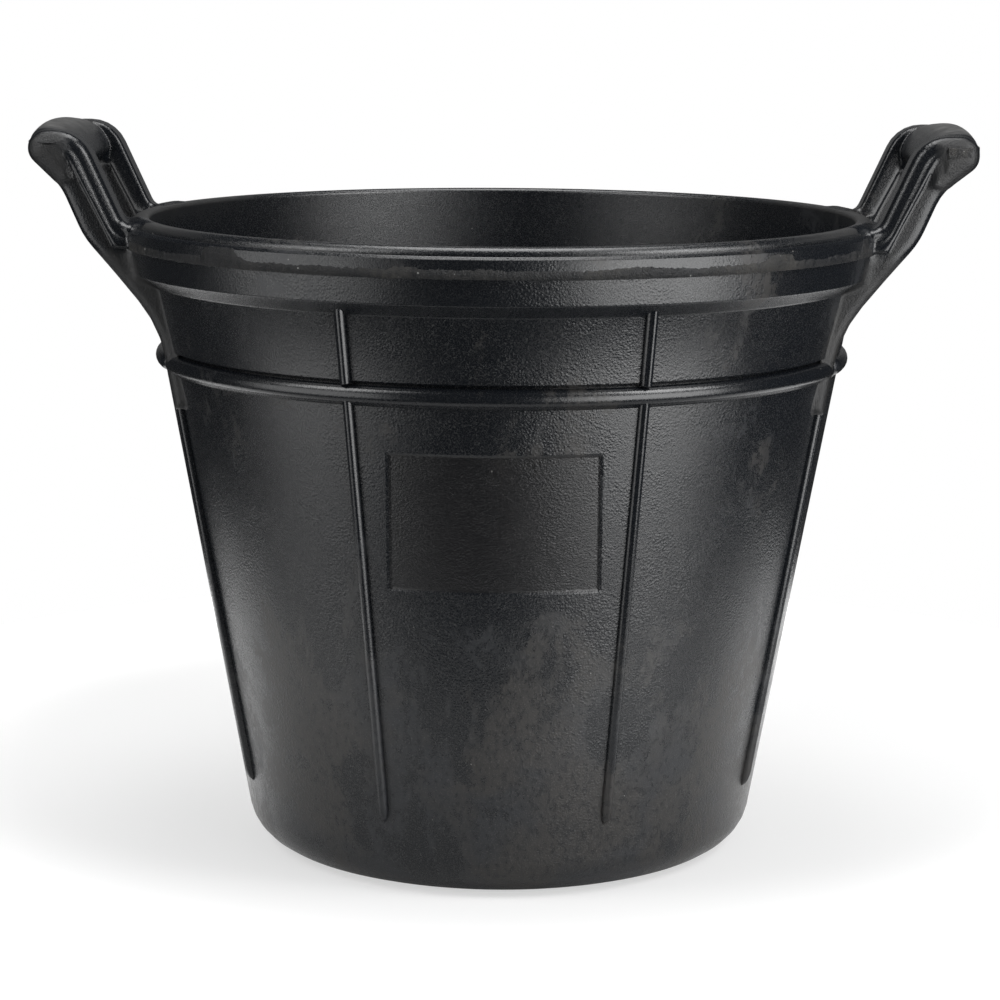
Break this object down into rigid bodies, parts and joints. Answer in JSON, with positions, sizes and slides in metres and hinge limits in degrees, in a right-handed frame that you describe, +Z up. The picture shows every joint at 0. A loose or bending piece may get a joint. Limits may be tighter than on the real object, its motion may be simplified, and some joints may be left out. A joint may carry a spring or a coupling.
{
  "type": "rubber bucket",
  "caption": "Round tapered builder's bucket in black moulded rubber, with a stepped rim, a waist hoop, wall ribs and a springy cast-on grip handle on each side.",
  "frame": {"origin": "centre of the floor's underside, where the bucket stands", "axes": "+Z up the bucket's axis, +X towards the right-hand handle, -Y towards the bare badge panel"},
  "size_m": [0.4632, 0.38, 0.3633],
  "materials": {
    "rubber": "satin moulded black rubber with a fine pebbled grain and uneven gloss"
  },
  "bodies": {
    "bucket": {"back_left_lower_rib": "rubber", "back_left_upper_rib": "rubber", "back_right_lower_rib": "rubber", "back_right_upper_rib": "rubber", "bucket_floor": "rubber", "bucket_heel": "rubber", "bucket_wall": "rubber", "front_left_lower_rib": "rubber", "front_left_upper_rib": "rubber", "front_right_lower_rib": "rubber", "front_right_upper_rib": "rubber", "left_back_gusset": "rubber", "left_back_side_rib": "rubber", "left_front_gusset": "rubber", "left_front_side_rib": "rubber", "right_back_gusset": "rubber", "right_back_side_rib": "rubber", "right_front_gusset": "rubber", "right_front_side_rib": "rubber", "rim_collar": "rubber", "rim_lip": "rubber", "waist_hoop_back": "rubber", "waist_hoop_front": "rubber", "waist_hoop_left": "rubber", "waist_hoop_right": "rubber"},
    "left_handle": {"left_back_arm": "rubber", "left_front_arm": "rubber", "left_grip": "rubber"},
    "right_handle": {"right_back_arm": "rubber", "right_front_arm": "rubber", "right_grip": "rubber"}
  },
  "joints": [
    {"name": "left_handle_flex", "type": "hinge", "parent": "bucket", "child": "left_handle", "pos_m": [-0.19697, 0, 0.324], "axis": [0, 1, 0], "range_deg": [-20, 30], "stiffness_Nm_per_rad": 5},
    {"name": "right_handle_flex", "type": "hinge", "parent": "bucket", "child": "right_handle", "pos_m": [0.19697, 0, 0.324], "axis": [0, -1, 0], "range_deg": [-20, 30], "stiffness_Nm_per_rad": 5}
  ]
}
